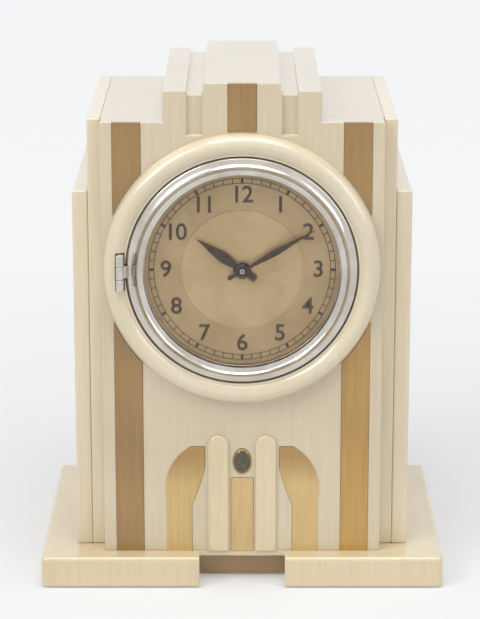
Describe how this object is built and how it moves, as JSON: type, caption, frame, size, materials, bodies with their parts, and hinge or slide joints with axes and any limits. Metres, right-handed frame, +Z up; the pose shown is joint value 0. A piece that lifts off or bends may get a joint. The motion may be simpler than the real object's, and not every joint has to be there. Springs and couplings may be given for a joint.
{
  "type": "table clock",
  "caption": "Stepped ivory table clock with ochre inlays, a round copper-tan dial under a hinged glazed bezel, a spring movement inside and a hinged rear door.",
  "frame": {"origin": "under the middle of the plinth, on the surface the clock stands on", "axes": "+Z up, -Y towards the dial side, +X to the right seen from the front"},
  "size_m": [0.198, 0.143, 0.25],
  "materials": {
    "ivory_lacquer": "ivory lacquer, glossy",
    "ochre_inlay": "ochre lacquered inlay, glossy",
    "bare_wood": "oiled",
    "dark_oval": "glossy",
    "felt": "felt",
    "nickel": "polished nickel",
    "glass": "clear",
    "dial_copper": "satin copper tan",
    "hand_brown": "dark brown lacquer",
    "brass": "satin",
    "steel": "satin",
    "blue_steel": "blued"
  },
  "bodies": {
    "case": {"plinth": "ivory_lacquer", "front_panel": "ivory_lacquer", "left_side": "ivory_lacquer", "right_side": "ivory_lacquer", "left_buttress": "ivory_lacquer", "right_buttress": "ivory_lacquer", "roof_board": "ivory_lacquer", "tower_block": "ivory_lacquer", "back_frame": "bare_wood", "dial_ring": "ivory_lacquer", "left_pilaster": "ivory_lacquer", "right_pilaster": "ivory_lacquer", "foot_pads": "felt", "upper_left_inlay": "ochre_inlay", "upper_right_inlay": "ochre_inlay", "lower_left_inlay": "ochre_inlay", "lower_right_inlay": "ochre_inlay", "left_leaf_inlay": "ochre_inlay", "right_leaf_inlay": "ochre_inlay", "centre_inlay": "ochre_inlay", "crown_inlay": "ochre_inlay", "oval_boss": "dark_oval", "case_screws": "steel", "door_hinge_pins": "brass", "turn_button_screw": "brass", "bezel_hinge": "nickel", "bezel_hinge_pin": "steel", "dial": "dial_copper", "front_plate": "brass", "back_plate": "brass", "pillars": "brass", "pillar_screws": "steel", "movement_screws": "steel", "click_screw": "steel"},
    "bezel": {"bezel": "nickel", "glass": "glass", "glass_retainer": "nickel"},
    "rear_door": {"rear_door": "bare_wood"},
    "turn_button": {"turn_button": "brass"},
    "minute_hand": {"centre_arbor": "steel", "cannon_pinion": "steel", "minute_hand": "hand_brown", "setting_knob": "brass"},
    "hour_hand": {"hour_wheel": "brass", "hour_hand": "hand_brown"},
    "minute_wheel": {"minute_wheel": "brass"},
    "winding_arbor": {"barrel_arbor": "steel", "ratchet_wheel": "steel", "winding_key": "brass"},
    "click": {"click": "steel"},
    "barrel": {"barrel": "brass", "barrel_cover": "brass", "mainspring": "blue_steel"},
    "centre_wheel": {"centre_wheel": "brass"},
    "third_wheel": {"third_wheel": "brass"},
    "fourth_wheel": {"fourth_wheel": "brass"},
    "escape_wheel": {"escape_wheel": "brass"},
    "pallet_lever": {"pallet_lever": "steel"},
    "balance": {"balance_wheel": "brass", "hairspring": "blue_steel"}
  },
  "joints": [
    {"name": "bezel_open", "type": "hinge", "parent": "case", "child": "bezel", "pos_m": [-0.0584, -0.0693, 0.1598], "axis": [0, 0, -1], "range_deg": [0, 120]},
    {"name": "rear_door_open", "type": "hinge", "parent": "case", "child": "rear_door", "pos_m": [-0.0484, 0.0645, 0.12], "axis": [0, 0, 1], "range_deg": [0, 95]},
    {"name": "turn_button_turn", "type": "hinge", "parent": "case", "child": "turn_button", "pos_m": [0.06, 0.0685, 0.12], "axis": [0, 1, 0], "range_deg": [-90, 90]},
    {"name": "minute_hand_turn", "type": "hinge", "parent": "case", "child": "minute_hand", "pos_m": [0, -0.0331, 0.1598], "axis": [0, 1, 0], "continuous": true},
    {"name": "hour_hand_turn", "type": "hinge", "parent": "case", "child": "hour_hand", "pos_m": [0, -0.0331, 0.1598], "axis": [0, 1, 0], "continuous": true},
    {"name": "minute_wheel_turn", "type": "hinge", "parent": "case", "child": "minute_wheel", "pos_m": [-0.00983, -0.0331, 0.15292], "axis": [0, 1, 0], "continuous": true},
    {"name": "winding_turn", "type": "hinge", "parent": "case", "child": "winding_arbor", "pos_m": [-0.01405, -0.0331, 0.13973], "axis": [0, 1, 0], "continuous": true},
    {"name": "click_lift", "type": "hinge", "parent": "case", "child": "click", "pos_m": [-0.00803, -0.0331, 0.1293], "axis": [0, -1, 0], "range_deg": [0, 12]},
    {"name": "fourth_wheel_turn", "type": "hinge", "parent": "case", "child": "fourth_wheel", "pos_m": [0.01316, -0.0331, 0.18157], "axis": [0, 1, 0], "continuous": true},
    {"name": "third_wheel_turn", "type": "hinge", "parent": "case", "child": "third_wheel", "pos_m": [0.01597, -0.0331, 0.16561], "axis": [0, 1, 0], "continuous": true},
    {"name": "centre_wheel_turn", "type": "hinge", "parent": "case", "child": "centre_wheel", "pos_m": [0, -0.0331, 0.1598], "axis": [0, 1, 0], "continuous": true},
    {"name": "barrel_turn", "type": "hinge", "parent": "case", "child": "barrel", "pos_m": [-0.01405, -0.0331, 0.13973], "axis": [0, 1, 0], "continuous": true},
    {"name": "escape_wheel_turn", "type": "hinge", "parent": "case", "child": "escape_wheel", "pos_m": [0.00041, -0.0331, 0.18499], "axis": [0, 1, 0], "continuous": true},
    {"name": "pallet_rock", "type": "hinge", "parent": "case", "child": "pallet_lever", "pos_m": [-0.00826, -0.0331, 0.18651], "axis": [0, 1, 0], "range_deg": [-5, 5]},
    {"name": "balance_swing", "type": "hinge", "parent": "case", "child": "balance", "pos_m": [-0.01718, -0.0331, 0.18326], "axis": [0, 1, 0], "range_deg": [-270, 270], "stiffness_Nm_per_rad": 0.000006, "deforming": ["hairspring"]}
  ],
  "couplings": [
    {"joint": "hour_hand_turn", "follows": "minute_hand_turn", "ratio": 0.083333},
    {"joint": "minute_wheel_turn", "follows": "minute_hand_turn", "ratio": -0.33333},
    {"joint": "third_wheel_turn", "follows": "fourth_wheel_turn", "ratio": -0.125},
    {"joint": "centre_wheel_turn", "follows": "fourth_wheel_turn", "ratio": 0.016667},
    {"joint": "barrel_turn", "follows": "fourth_wheel_turn", "ratio": -0.0027778},
    {"joint": "escape_wheel_turn", "follows": "fourth_wheel_turn", "ratio": -10}
  ]
}
